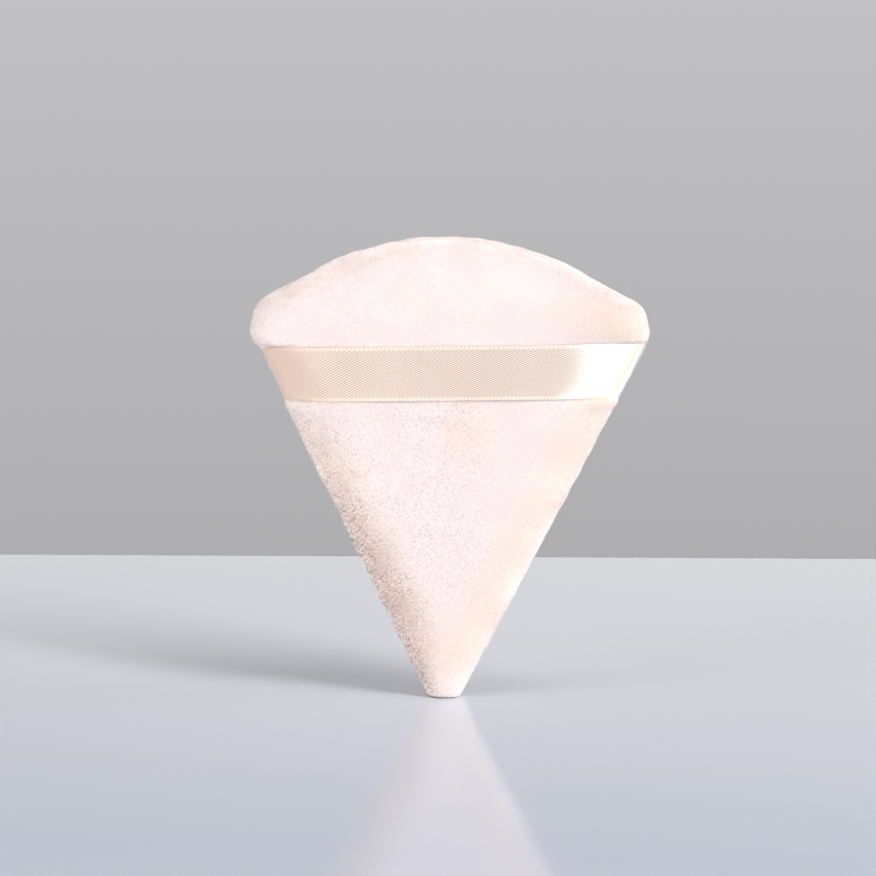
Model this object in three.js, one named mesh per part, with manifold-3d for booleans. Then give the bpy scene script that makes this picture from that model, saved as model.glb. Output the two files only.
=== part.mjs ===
// A wedge-shaped velour powder puff with a satin finger ribbon, standing on its blunt tip.
// Millimetres. +Z is up, the ribbon faces -Y, and the origin is the middle of the flat under the tip.
//
// The puff is drawn as an outline in the XZ plane, seen from the front. Every ring of every soft
// piece is that outline drawn in by some inset, set off from the mid-plane by some rise. A point is
// drawn in along its ray to the thickest place until it lies the inset inside its own edge.
import * as THREE from 'three';
import Module from 'manifold-3d';
import { mergeVertices } from 'three/addons/utils/BufferGeometryUtils.js';

const wasm = await Module();
wasm.setup();

// Outline
const puffHeight = 85.5;
const crownRadius = 48;
const cornerRadius = 6.8;
const tipWidth = 6.2; // between the straight flanks where they reach the foot
const tipRadius = 2.6;
const footCutDepth = 0.5; // how much of the rounded tip is cut flat
const flankAngle = THREE.MathUtils.degToRad(26.7); // of each flank from upright

// Thickness, from the mid-plane
const crownRise = 6.3; // half thickness at the thickest place
const tipRise = 4.5; // half thickness at the tip
const thickestDrop = 29.5; // from the crown's top down to the thickest place
const edgeRound = 9; // how far in from the edge a face stops rounding over
const bulgeRise = 1.6; // from the mid-plane to the widest line of each panel
const seamDraw = 0.9; // how deep the seam is drawn in between the two bulges

// Cloth, foam and clearances
const clearance = 0.3;
const panelGap = 0.3;
const clothThickness = 1.8;
const allowanceWidth = 3.5;
const allowanceThickness = 1.2;
const foamRound = 3.4;

// Ribbon
const ribbonWidth = 10;
const ribbonThickness = 0.35;
const ribbonDrop = 24.5; // from the crown's top down to its middle
const ribbonTab = 2.6; // how far each end reaches into the seam
const slotClearance = 0.25; // round the ribbon where it passes between the panels
const ribbonTilt = THREE.MathUtils.degToRad(1.9);

// Threads
const seamThread = 0.35; // diameter
const stitchPitch = 5;
const closingThread = 0.3;
const closingStart = 5; // along the edge, from the top's middle to the turning gap
const closingLength = 16;
const closingPitch = 2;
const closingHalfWidth = 0.9; // from the mid-plane to each stitch's end

// Counts of steps
const crownSteps = 4;
const shoulderSteps = 2;
const cornerSteps = 5;
const flankSteps = 6;
const tipSteps = 3;
const roundSteps = 6;
const bulgeSteps = 3;
const faceSteps = 4;
const ribbonRows = 5;
const ribbonColumns = 14;
const needleSteps = 4; // to each pitch of the looper
const threadSides = 5;

const velour = new THREE.MeshStandardMaterial({ color: 0xfbeeea, roughness: 0.95, metalness: 0 });
const sponge = new THREE.MeshStandardMaterial({ color: 0xf7f2e6, roughness: 1, metalness: 0 });
const satin = new THREE.MeshStandardMaterial({ color: 0xe9cbbe, roughness: 0.35, metalness: 0 });
const polyester = new THREE.MeshStandardMaterial({ color: 0xf3e4de, roughness: 0.6, metalness: 0 });

const thickestHeight = puffHeight - thickestDrop;
const ribbonHeight = puffHeight - ribbonDrop;
const thickest = new THREE.Vector2(0, thickestHeight);
const right = Math.PI / 2;

// Points on an arc of the outline with their outward normals. Angles run clockwise from +Z.
function arc(centre, radius, from, to, steps) {
  return Array.from({ length: steps + 1 }, (_, i) => {
    const angle = from + ((to - from) * i) / steps;
    const normal = new THREE.Vector2(Math.sin(angle), Math.cos(angle));
    return { place: centre.clone().addScaledVector(normal, radius), normal };
  });
}

// The points strictly between two points of the outline that share one straight edge
function between(start, end, steps) {
  return Array.from({ length: steps - 1 }, (_, i) => ({
    place: start.place.clone().lerp(end.place, (i + 1) / steps),
    normal: start.normal,
  }));
}

// The right half of the outline, from the top's middle down to the foot's. The shoulders leave the
// crown's arc straight and meet the flanks at right angles, under rounded corners.
function halfOutline() {
  const up = new THREE.Vector2(Math.sin(flankAngle), Math.cos(flankAngle));
  const out = new THREE.Vector2(Math.cos(flankAngle), -Math.sin(flankAngle));
  const crownCentre = new THREE.Vector2(0, puffHeight - crownRadius);
  const shoulderReach = up.dot(crownCentre) + crownRadius;
  const flankReach = (out.x * tipWidth) / 2;
  const corner = new THREE.Vector2()
    .addScaledVector(up, shoulderReach - cornerRadius)
    .addScaledVector(out, flankReach - cornerRadius);
  const widestTip = (flankReach + out.y * footCutDepth) / (1 + out.y);
  const round = Math.min(tipRadius, widestTip);
  const tipHeight = round - footCutDepth;
  const tip = new THREE.Vector2((flankReach - round - out.y * tipHeight) / out.x, tipHeight);

  const crown = arc(crownCentre, crownRadius, 0, flankAngle, crownSteps);
  const cornerArc = arc(corner, cornerRadius, flankAngle, flankAngle + right, cornerSteps);
  const tipArc = arc(tip, round, flankAngle + right, 2 * right, tipSteps);
  const foot = { place: new THREE.Vector2(0, -footCutDepth), normal: new THREE.Vector2(0, -1) };
  return [
    ...crown,
    ...between(crown.at(-1), cornerArc[0], shoulderSteps),
    ...cornerArc,
    ...between(cornerArc.at(-1), tipArc[0], flankSteps),
    ...tipArc,
    foot,
  ];
}

const half = halfOutline();
const mirrored = half
  .slice(1, -1)
  .reverse()
  .map(({ place, normal }) => ({
    place: new THREE.Vector2(-place.x, place.y),
    normal: new THREE.Vector2(-normal.x, normal.y),
  }));
const outline = [...half, ...mirrored];

// A point of the outline drawn in by an inset
function drawnIn({ place, normal }, inset) {
  const ray = place.clone().sub(thickest);
  return place.clone().addScaledVector(ray, -inset / ray.dot(normal));
}

// Half the puff's thickness where its face lies flat: thickest at one place, less towards the tip
function riseAt(x, z) {
  const share = thickest.distanceTo(new THREE.Vector2(x, z)) / thickestHeight;
  return crownRise - (crownRise - tipRise) * share ** 2;
}

// A closed body from rings of equal counts, each a list of points, shut at both ends by a middle point
function lofted(first, rings, last) {
  const count = rings[0].length;
  const positions = [first, ...rings.flat(), last].flatMap((p) => [p.x, p.y, p.z]);
  const index = [];
  const at = (ring, i) => 1 + ring * count + (i % count);
  const end = positions.length / 3 - 1;
  for (let i = 0; i < count; i += 1) {
    index.push(0, at(0, i), at(0, i + 1));
    for (let ring = 1; ring < rings.length; ring += 1) {
      index.push(at(ring - 1, i), at(ring, i), at(ring, i + 1));
      index.push(at(ring - 1, i), at(ring, i + 1), at(ring - 1, i + 1));
    }
    index.push(at(rings.length - 1, i + 1), at(rings.length - 1, i), end);
  }
  const geometry = new THREE.BufferGeometry();
  geometry.setAttribute('position', new THREE.Float32BufferAttribute(positions, 3));
  geometry.setIndex(index);
  return geometry;
}

// A ring of the outline at an inset, on the front (side -1) or the back (side 1). Its rise is worked
// out from half the thickness at each point.
function edgeRing(side, inset, rise) {
  return outline.map((point) => {
    const { x, y: z } = drawnIn(point, inset);
    return new THREE.Vector3(x, side * rise(riseAt(x, z)), z);
  });
}

// Rings across the flat of a face, from the edge's rounding towards the thickest place
function faceRings(side, inset, sunk) {
  return Array.from({ length: faceSteps - 1 }, (_, i) => {
    const share = (i + 1) / faceSteps;
    return outline.map((point) => {
      const { x, y: z } = drawnIn(point, inset).lerp(thickest, share);
      return new THREE.Vector3(x, side * (riseAt(x, z) - sunk), z);
    });
  });
}

// Rings up the rounded edge of a face that lies sunk below the outer one
function roundRings(side, sunk, firstStep) {
  return Array.from({ length: roundSteps + 1 - firstStep }, (_, i) => {
    const turn = (right * (i + firstStep)) / roundSteps;
    const inset = edgeRound - (edgeRound - sunk) * Math.cos(turn);
    return edgeRing(side, inset, (rise) => bulgeRise + (rise - sunk - bulgeRise) * Math.sin(turn));
  });
}

// The seam allowance runs in from its root, where the cloth turns under the face, to its cut end
const allowanceRoot = clothThickness + clearance;
const allowanceEnd = seamDraw + allowanceWidth;

// One cloth panel: its crowned face, the bulge that turns into the seam, and its seam allowance
function panel(side) {
  const seamRise = panelGap / 2;
  const bulge = Array.from({ length: bulgeSteps }, (_, i) => {
    const turn = right * (1 - i / bulgeSteps);
    const inset = seamDraw * (1 - Math.cos(turn));
    return edgeRing(side, inset, () => bulgeRise - (bulgeRise - seamRise) * Math.sin(turn));
  });
  const allowanceTop = seamRise + allowanceThickness;
  const outside = [...bulge, ...roundRings(side, 0, 0), ...faceRings(side, edgeRound, 0)];
  const inside = [
    edgeRing(side, allowanceEnd, () => seamRise),
    edgeRing(side, allowanceEnd, () => allowanceTop),
    edgeRing(side, allowanceRoot, () => allowanceTop),
    ...roundRings(side, clothThickness, 1),
    ...faceRings(side, edgeRound, clothThickness),
  ];
  const rings = [...outside.reverse(), ...inside];
  if (side < 0) {
    rings.forEach((ring) => ring.reverse());
  }
  const outer = new THREE.Vector3(0, side * crownRise, thickestHeight);
  const inner = new THREE.Vector3(0, side * (crownRise - clothThickness), thickestHeight);
  return lofted(outer, rings, inner);
}

// The foam core: it fills the puff between the panels' faces and stops short of the stitched allowances
function foam() {
  const edge = allowanceEnd + clearance + seamThread + clearance;
  const sunk = clothThickness + clearance;
  const face = (side) => {
    const rounding = Array.from({ length: roundSteps }, (_, i) => {
      const turn = (right * (i + 1)) / roundSteps;
      const inset = edge + foamRound * (1 - Math.cos(turn));
      return edgeRing(side, inset, (rise) => (rise - sunk) * Math.sin(turn));
    });
    return [...rounding, ...faceRings(side, edge + foamRound, sunk)];
  };
  const rings = [...face(-1).reverse(), edgeRing(-1, edge, () => 0), ...face(1)];
  rings.forEach((ring) => ring.reverse());
  const front = new THREE.Vector3(0, sunk - crownRise, thickestHeight);
  const back = new THREE.Vector3(0, crownRise - sunk, thickestHeight);
  return lofted(front, rings, back);
}

// Where the edge at an inset lies at a height, on the right side
function edgeAt(z, inset) {
  const ring = half.map((point) => drawnIn(point, inset));
  const i = Math.max(1, ring.findIndex((point) => point.y <= z));
  const share = (z - ring[i].y) / (ring[i - 1].y - ring[i].y);
  return ring[i].clone().lerp(ring[i - 1], share).x;
}

// The ribbon's course round one side, at its face nearer the panel (level 0) or its outer face
// (level 1): the tab in the seam, the way out of it, then the rounding of the front panel's edge.
// spare widens it on all sides.
function ribbonCourse(level, spare) {
  const off = clearance + level * ribbonThickness + (level ? spare : -spare);
  const tabRise = (level ? -1 : 1) * (ribbonThickness / 2 + spare);
  const mouth = seamDraw + clearance;
  const exit = Array.from({ length: bulgeSteps + 1 }, (_, i) => {
    const turn = (right * i) / bulgeSteps;
    return {
      inset: mouth - (mouth + off) * Math.sin(turn),
      rise: () => bulgeRise - (bulgeRise - tabRise) * Math.cos(turn),
    };
  });
  const round = Array.from({ length: roundSteps }, (_, i) => {
    const turn = (right * (i + 1)) / roundSteps;
    return {
      inset: edgeRound - (edgeRound + off) * Math.cos(turn),
      rise: (rise) => bulgeRise + (rise + off - bulgeRise) * Math.sin(turn),
    };
  });
  return [{ inset: mouth + ribbonTab + spare, rise: () => tabRise }, ...exit, ...round];
}

// Where a row of the ribbon is, drop being its height above the ribbon's middle line
function ribbonPoint(side, { inset, rise }, drop) {
  const slope = Math.tan(ribbonTilt);
  const middle = ribbonHeight + drop / Math.cos(ribbonTilt);
  const first = side * edgeAt(middle, inset);
  const x = side * edgeAt(middle + slope * first, inset);
  const z = middle + slope * x;
  return new THREE.Vector3(x, -rise(riseAt(x, z)), z);
}

// A band of the ribbon's rows, a closed section at each place of its course
function band(sections) {
  const middle = (ring) =>
    ring.reduce((sum, p) => sum.add(p), new THREE.Vector3()).divideScalar(ring.length);
  return lofted(middle(sections[0]), sections, middle(sections.at(-1)));
}

// The section at one place of a side: up the face nearer the panel, down the outer face
function ribbonSection(side, inner, outer, spare) {
  const drops = Array.from(
    { length: ribbonRows },
    (_, i) => (ribbonWidth / 2 + spare) * ((2 * i) / (ribbonRows - 1) - 1),
  );
  return [
    ...drops.map((drop) => ribbonPoint(side, inner, drop)),
    ...drops.reverse().map((drop) => ribbonPoint(side, outer, drop)),
  ];
}

function sideSections(side, spare, count) {
  const inner = ribbonCourse(0, spare);
  const outer = ribbonCourse(1, spare);
  return inner.slice(0, count).map((place, i) => ribbonSection(side, place, outer[i], spare));
}

// The front stretch runs between the two sides' last sections, standing off the panel's face
function ribbon() {
  const left = sideSections(-1, 0);
  const rightSide = sideSections(1, 0).reverse();
  const front = Array.from({ length: ribbonColumns - 1 }, (_, i) =>
    left.at(-1).map((from, k) => {
      const point = from.clone().lerp(rightSide[0][k], (i + 1) / ribbonColumns);
      const off = clearance + (k < ribbonRows ? 0 : ribbonThickness);
      return point.setY(-riseAt(point.x, point.z) - off);
    }),
  );
  return band([...left, ...front, ...rightSide].reverse());
}

// The room that the ribbon's tab and its way out take between the panels on one side
function ribbonSlot(side) {
  const sections = sideSections(side, slotClearance, bulgeSteps + 2);
  return band(side < 0 ? sections.reverse() : sections);
}

// A closed geometry as a solid that can be cut
function solid(geometry) {
  const merged = mergeVertices(geometry);
  return new wasm.Manifold(
    new wasm.Mesh({
      numProp: 3,
      vertProperties: new Float32Array(merged.attributes.position.array),
      triVerts: new Uint32Array(merged.index.array),
    }),
  );
}

function geometryOf(body) {
  const { vertProperties, triVerts } = body.getMesh();
  const geometry = new THREE.BufferGeometry();
  geometry.setAttribute('position', new THREE.BufferAttribute(vertProperties, 3));
  geometry.setIndex(new THREE.BufferAttribute(triVerts, 1));
  return geometry;
}

// Cuts the tip flat at the floor, with a block below it wider than the puff
function cutFlat(body) {
  const block = new THREE.BoxGeometry(puffHeight, puffHeight, puffHeight);
  block.deleteAttribute('normal');
  block.deleteAttribute('uv');
  block.translate(0, 0, -puffHeight / 2);
  return body.subtract(solid(block));
}

// The outline as a path: a point, with its normal, at a length along it clockwise from the top
const corners = outline.map(({ place }) => place);
const lengths = corners.map((corner, i) => corner.distanceTo(corners[(i + 1) % corners.length]));
const girth = lengths.reduce((sum, length) => sum + length, 0);

function outlineAt(length) {
  let rest = THREE.MathUtils.euclideanModulo(length, girth);
  let i = 0;
  while (rest > lengths[i] && i < lengths.length - 1) {
    rest -= lengths[i];
    i += 1;
  }
  const next = outline[(i + 1) % outline.length];
  const share = rest / lengths[i];
  return {
    place: outline[i].place.clone().lerp(next.place, share),
    normal: outline[i].normal.clone().lerp(next.normal, share).normalize(),
  };
}

// A thread's point at a length along the outline, at an inset and a distance behind the mid-plane
function threadPoint(length, inset, back) {
  const { x, y: z } = drawnIn(outlineAt(length), inset);
  return new THREE.Vector3(x, back, z);
}

// A thread through a list of points, with mitred bends
function thread(points, diameter) {
  const along = points.map((point, i) => {
    const before = points[Math.max(0, i - 1)];
    const after = points[Math.min(points.length - 1, i + 1)];
    const into = point.clone().sub(before).normalize();
    const out = after.clone().sub(point).normalize();
    return into.add(out).normalize();
  });
  const rings = [];
  let across = new THREE.Vector3(0, 1, 0).cross(along[0]);
  points.forEach((point, i) => {
    across = across.clone().projectOnPlane(along[i]).normalize();
    const over = along[i].clone().cross(across);
    rings.push(
      Array.from({ length: threadSides }, (_, k) => {
        const turn = (4 * right * k) / threadSides;
        return point
          .clone()
          .addScaledVector(across, (Math.cos(turn) * diameter) / 2)
          .addScaledVector(over, (Math.sin(turn) * diameter) / 2);
      }),
    );
  });
  rings.forEach((ring) => ring.reverse());
  return lofted(points[0], rings, points.at(-1));
}

// The seam is machine-sewn from one end of the turning gap round to the other
const sewnFrom = -closingStart;
const sewnLength = girth - closingLength;
const allowanceFace = panelGap / 2 + allowanceThickness + clearance + seamThread / 2;
const needleLine = allowanceRoot + clearance + seamThread / 2;
const looperTurn = needleLine + seamThread + 2 * clearance;
const looperEnd = allowanceEnd + clearance + seamThread / 2;

// The looper's thread wraps both allowances: over the front one, round their ends, under the back one
function looper() {
  const pairs = Math.floor(sewnLength / stitchPitch);
  const points = Array.from({ length: 2 * pairs }, (_, i) => {
    const length = sewnFrom + ((i + 1 / 2) * stitchPitch) / 2;
    const side = i % 2 ? 1 : -1;
    return [
      threadPoint(length, looperTurn, side * allowanceFace),
      threadPoint(length, looperEnd, side * allowanceFace),
      threadPoint(length, looperEnd, -side * allowanceFace),
      threadPoint(length, looperTurn, -side * allowanceFace),
    ];
  });
  return thread(points.flat(), seamThread);
}

// The needle's thread runs straight along the front allowance, outside the looper's turns
function needle() {
  const steps = Math.floor((needleSteps * sewnLength) / stitchPitch);
  const points = Array.from({ length: steps + 1 }, (_, i) =>
    threadPoint(sewnFrom + (sewnLength * i) / steps, needleLine, -allowanceFace),
  );
  return thread(points, seamThread);
}

// Slanting hand stitches over the turning gap, lying in the drawn-in seam
function closing() {
  const stitches = Math.floor((2 * closingLength) / closingPitch);
  const off = clearance + closingThread / 2;
  const turn = Math.asin(closingHalfWidth / bulgeRise);
  const over = seamDraw * (1 - Math.cos(turn)) - off;
  const points = Array.from({ length: stitches + 1 }, (_, i) => {
    const length = -closingStart - (closingLength * i) / stitches;
    const swing = [0, 1, 0, -1][i % 4] * closingHalfWidth;
    return threadPoint(length, swing ? over : 0, swing);
  });
  return thread(points, closingThread);
}

function named(name, geometry, material) {
  const mesh = new THREE.Mesh(geometry, material);
  mesh.name = name;
  return mesh;
}

const slots = solid(ribbonSlot(-1)).add(solid(ribbonSlot(1)));
const frontPanel = geometryOf(cutFlat(solid(panel(-1)).subtract(slots)));
const backPanel = geometryOf(cutFlat(solid(panel(1)).subtract(slots)));

const puff = new THREE.Group();
puff.add(named('front_panel', frontPanel, velour));
puff.add(named('back_panel', backPanel, velour));
puff.add(named('foam_core', foam(), sponge));
puff.add(named('ribbon', ribbon(), satin));
puff.add(named('looper_thread', looper(), polyester));
puff.add(named('needle_thread', needle(), polyester));
puff.add(named('closing_thread', closing(), polyester));

export default puff;
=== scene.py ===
"""A wedge-shaped velour powder puff with a satin finger ribbon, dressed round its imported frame.

Lengths are in millimetres of the CAD model, and MM turns them into Blender's metres. The puff is
drawn as an outline in the XZ plane, as the CAD is: a ring of any soft piece is that outline drawn
in by an inset and set off from the mid-plane by a rise. The ribbon faces -Y.
"""

import math

import bpy
import numpy as np
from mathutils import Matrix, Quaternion, Vector


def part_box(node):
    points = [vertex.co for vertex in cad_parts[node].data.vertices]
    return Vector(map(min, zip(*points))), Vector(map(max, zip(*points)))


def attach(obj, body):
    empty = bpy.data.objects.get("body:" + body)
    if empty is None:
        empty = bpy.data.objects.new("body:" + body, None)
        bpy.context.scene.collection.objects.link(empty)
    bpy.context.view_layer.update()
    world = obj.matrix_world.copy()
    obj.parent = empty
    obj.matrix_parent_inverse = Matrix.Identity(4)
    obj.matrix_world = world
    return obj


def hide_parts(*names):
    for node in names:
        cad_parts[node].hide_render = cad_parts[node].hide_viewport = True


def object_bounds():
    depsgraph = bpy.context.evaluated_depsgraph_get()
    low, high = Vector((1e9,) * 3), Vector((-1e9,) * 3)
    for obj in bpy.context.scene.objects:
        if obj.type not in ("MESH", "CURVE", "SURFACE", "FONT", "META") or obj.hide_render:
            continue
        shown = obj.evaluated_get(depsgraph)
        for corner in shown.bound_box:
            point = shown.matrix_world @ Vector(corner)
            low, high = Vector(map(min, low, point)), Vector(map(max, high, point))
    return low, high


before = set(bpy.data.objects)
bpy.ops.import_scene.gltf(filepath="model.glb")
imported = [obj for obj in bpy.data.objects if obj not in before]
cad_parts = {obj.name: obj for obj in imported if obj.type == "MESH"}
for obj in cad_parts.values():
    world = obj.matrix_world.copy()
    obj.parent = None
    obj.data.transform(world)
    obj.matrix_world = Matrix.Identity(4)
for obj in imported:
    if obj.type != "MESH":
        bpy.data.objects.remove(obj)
cad_low, cad_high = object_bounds()

# The pairs that ease() takes say where something is at nothing and where it is at its full

# Outline, as in the CAD
PUFF_HEIGHT = 85.5
CROWN_RADIUS = 48.0
CORNER_RADIUS = 6.8
TIP_WIDTH = 6.2
TIP_RADIUS = 2.6
FOOT_CUT = 0.5
FLANK_ANGLE = math.radians(26.7)
FLANK_OUT = np.array([math.cos(FLANK_ANGLE), -math.sin(FLANK_ANGLE)])
FOOT_BLEND = 5.0  # the inset by which the foot's rings have turned to follow the flanks
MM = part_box("front_panel")[1].z / PUFF_HEIGHT
FULL_TURN = 2.0 * math.pi
SQUARE = math.pi / 2.0

# Where the real crown stands out of its arcs, by bearing from the thickest place in radians
SHOULDER_OUT = 0.42
SHOULDER_BEARING = 0.72
SHOULDER_SPREAD = 0.17
CORNER_OUT = 0.45
CORNER_BEARING = 1.105
CORNER_SPREAD = 0.06
FILLED_FROM = 24.0  # how far from the thickest place they stand out in full

# Thickness, from the mid-plane
THICKEST = np.array([0.0, PUFF_HEIGHT - 29.5])
CROWN_RISE = 6.3
TIP_RISE = 4.5
EDGE_ROUND = 9.0
TIP_ROUND = 0.35
TIP_ROUND_BELOW = 0.2  # how far under the table that rounding starts
TIP_ROUNDED = (27.0, 14.0)  # heights
TIP_ROUND_STEP = 0.25  # over which the rounding starts above the seam's bulge
BULGE_RISE = 1.6
SEAM_DRAW = 0.9
SEAM_RISE = 0.15
SEAM_SMOOTH = 0.5  # the rise over which the velour's unevenness starts beside the seam
LEAST_HEIGHT = 0.03  # over the table
LEAST_SIZE = 0.1  # keeps what is looked up or divided by off nothing

# Cloth and foam
CLOTH = 1.8
CLEARANCE = 0.3
ALLOWANCE_WIDTH = 3.5
ALLOWANCE_THICKNESS = 1.2
FOAM_ROUND = 3.4
SEAM_THREAD = 0.35
FOAM_STEP = 0.8
FOAM_RINGS = 60
FOAM_ROUND_RINGS = 12
PORE_SIZES = (2.2, 3.6)
PORE_LIMIT = 1.1
PORE_DEPTH = 0.22

# Ribbon
RIBBON_WIDTH = 10.0
RIBBON_HEIGHT = PUFF_HEIGHT - 24.5
RIBBON_TILT = math.radians(1.9)
RIBBON_THICKNESS = 0.3
RIBBON_TAB = 2.6
RIBBON_STAND_OFF = 0.12  # over the pressed pile
RIBBON_COLUMNS = 721  # of its outer face; a multiple of the coarser inner face's, and one
RIBBON_ROWS = 129
RIBBON_COARSER = 8
RIBBON_MOUTH = 0.75  # how far inside the drawn seam it goes in
TAB_STATIONS = 8  # the columns it is drawn through, before they are spaced evenly
TURN_STATIONS = 14
TURN_FROM = 0.1  # radians
EDGE_STATIONS = 48
FACE_STATIONS = 120
TWILL_PITCH = 0.355
TWILL_DEPTH = 0.03
TWILL_SLANT = math.radians(24.0)
TWILL_LINE = 0.7  # the relief under which a line is dark
SELVEDGE_PITCH = 0.74
SELVEDGE_WIDTH = 0.7
SELVEDGE_STEP = 0.12
SELVEDGE_RELIEF = 0.3
RIBBON_WAVES = ((0.03, 13.0), (0.008, 5.0))  # height and wavelength
RIBBON_WAVED = (3.0, 5.0)  # rises
LOWER_LIFT = 0.06  # its lower edge, off the pile
LOWER_LIFTED = (-3.2, -5.0)  # drops

# The bed that the ribbon presses into the pile
PINCH_FACE = 0.32
PINCH_RIGHT = 1.0
PINCH_LEFT = 0.55
PINCH_LEFT_UPPER = 0.3  # more along the upper edge
PINCH_FROM_RIGHT = 11.0  # insets
PINCH_FROM_LEFT = 9.0
PINCH_FULL = 2.0
BED_MARGIN = 0.1
BED_SLOPE = 0.65
BED_SLOPE_MORE = 1.8
BED_SLOPED = (3.0, 0.0)  # insets
BED_SHARE_ABOVE = 0.32  # how much of the slope lies outside the ribbon
BED_SHARE_BELOW = 0.5
BED_SMOOTH = (-0.6, 0.8)  # outside the ribbon's edge
PUFFED_SHARE = 0.1  # the pile pushed up beside the bed, as a share of its depth
PUFFED_OFF = 1.6
PUFFED_WIDTH = 1.0

# How dark the ribbon's lines are woven, as shares of the full dye, by place across the puff, with
# painted shade over the ribbon's right half
WOVEN_RISES = (2.8, 5.8)
WOVEN_LEFT = (-32.0, -18.0)
WOVEN_LEAST = 0.3
WOVEN_PLAIN = 0.26  # where the lines are too fine to show, at the left end
PLAIN_PLACES = (10.0, -10.0)
WOVEN_LINES = 0.92
WOVEN_GROUND = 0.04
WOVEN_FACE = 0.02
# painted shade over the ribbon's right half, fading before its right end
RIBBON_RIGHT_PAINTED_SHADE = 0.17
RIGHT_PLACES = (-14.0, 10.0)
RIGHT_ENDS = (27.0, 21.0)
WARM_PLACES = (-22.0, -33.0)

# Closing stitches
STITCHES_START = 5.0  # left of the crown's middle
STITCHES_LENGTH = 16.0
STITCH_PITCH = 2.0
STITCH_REACH = 0.9  # to each side of the seam
STITCH_THREAD = 0.3
STITCH_SUNK = 0.35  # below the velour's drawn form
STITCH_SAMPLES = 10
PLY_GROOVE = 0.22  # as a share of the thread's radius
PLY_LAY = 1.2

# How finely the pieces are meshed
CLOTH_STEP = 0.36  # between the points of the velour's outer face
INNER_STEP = 1.6  # between the points of its inner wall
ARC_SAMPLES = 160
EDGE_SAMPLES = 900
BEARING_SAMPLES = 3000
RING_SAMPLES = 65
LEAST_POINTS = 12  # of a ring
FACE_RINGS = 135
ROUND_RINGS = 30
BULGE_RINGS = 9
INNER_FACE_RINGS = 8
INNER_ROUND_RINGS = 6

# Pile
TUFTS = 165000  # on each panel
PILE_BANDS = ("top", "upper", "middle", "lower")  # the pieces that they are shared out to
TUFT_LENGTH = 0.34
TUFT_RADIUS = 0.1
TUFT_LENGTHS = (0.6, 1.15)  # shares
TUFT_RADII = (0.75, 1.25)
TUFT_ROOT = 0.12  # below the cloth
TUFT_SHADE = 0.13  # how far a tuft's shading turns from the cloth's
TUFT_COMB = 0.15  # how far neighbours lean alike
COMB_SIZE = 9.0
TUFT_STRAY = 0.18  # how far each leans by itself
TUFTS_LOWEST = 0.2
TUFTS_OFF_SEAM = 0.05
TUFTS_UNDER_RIBBON = 0.08
RUFFLED_THIN = 0.25  # the share of tufts missing where the pile is thinner, low on the front's left flank
RUFFLED_SHADE = 2.5  # more of it there
PILE_SUNK = 0.28  # the cloth under the pile, below the puff's drawn form
LUMPS = ((0.04, 11.0), (0.012, 3.2), (0.002, 1.3))  # height and wavelength
SEAM_PULL = 0.05
SEAM_PULL_SIZE = 4.2
SEAM_PULLED = (7.0, 0.0)  # insets

# The crease below the ribbon, down the front
CREASE_START = np.array([1.7, 54.0])
CREASE_END = np.array([-3.2, 33.0])
CREASE_FADES = (0.2, 0.35)  # shares of its length
CREASE_DEPTH = 0.07
CREASE_WIDTH = 0.8
# Painted shade along the crease, in the pile's colour
CREASE_PAINTED_SHADE = 0.16
CREASE_PAINTED_SHADE_WIDTH = 0.4

# Cream tint: the velour's own cream patch below the ribbon, and a warm tone painted along the flanks
# for the warm light and shade there
TINT_INSETS = (11.0, 3.0)
TINT_RIM = 0.25  # what is left of it at the very edge
TINT_RIM_INSETS = (0.2, 1.5)
TINT_FOOT = (1.0, 9.0)  # heights
TINT_RIGHT = (78.0, 70.0)
TINT_LEFT = (57.0, 45.0)
TINT_LEFT_SHARE = 0.75
PATCH_PLACE = (3.7, 49.5)
PATCH_REACH = (4.2, 5.5)
PATCH_TINT = 0.85

# Thinner, rougher pile low on the front's left flank, painted darker there as shade
RUFFLED_WIDTH = 7.0
RUFFLED_WIDER = 4.0
WIDER_HEIGHTS = (44.0, 22.0)
RUFFLED_NARROWER = 5.0
NARROWER_HEIGHTS = (20.0, 4.0)
RUFFLED_INNER = 1.0
RUFFLED_HEIGHTS = (52.0, 26.0)
RUFFLED_ACROSS = (0.6, -3.4)

# Painted shade in the pile's colour: its mean, and how much it differs from tuft to tuft as a speckle
# of random fibre tone and painted shade between the tufts
GRAIN_AND_SHADE_WAVES = ((0.38, 0.62, 50), (0.16, 1.3, 54))  # strength, wavelength and seed
GRAIN_AND_SHADE_STRAY = 0.2
SPECKLE = 0.17
SPECKLE_BELOW = 0.31
SPECKLE_RUFFLED = 0.6
BELOW_RIBBON = (61.0, 53.0)
BELOW_ACROSS = (12.0, 0.0)
BELOW_TIP = (13.0, 27.0)
SPECKLE_LEFT = (-2.0, -10.0)
SPECKLE_LEFT_LESS = 0.4
PAINTED_SHADE_BASE = 0.1
PAINTED_SHADE_FRONT = 0.06
# Painted shade where the front faces up and at the crown's right, holding back the lamps' light there
PAINTED_SHADE_UPWARD = 0.12
SHADED_UPWARD = (0.0, 0.5)  # the normals' upward parts
PAINTED_SHADE_RIGHT = 0.1
SHADED_RIGHT = (12.0, 26.0)
SHADED_CROWN = (63.0, 68.0)
PAINTED_SHADE_RIM_LESS = 0.7
SHADED_RIM = (0.55, 0.95)  # upward parts too
PAINTED_SHADE_RUFFLED = 0.18
PAINTED_SHADE_GROUND = 0.2  # more painted shade on the cloth between the tufts, low on the left flank

# The square that the pile's colours are baked through, and where the foot lies in it
MAP_SIZE = 92.0
MAP_FOOT = np.array([0.5, 0.02])

# Camera, in metres and degrees
CENTRE = (cad_low + cad_high) / 2.0
CAMERA_AZIMUTH = 4.5
CAMERA_ELEVATION = 8.0
CAMERA_ROLL = 0.78
CAMERA_DISTANCE = 0.7
FRAME_WIDTH = 0.1621
CAMERA_TARGET = Vector((-0.00186, 0.0, 0.0482))
SENSOR_WIDTH = 36.0

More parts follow.
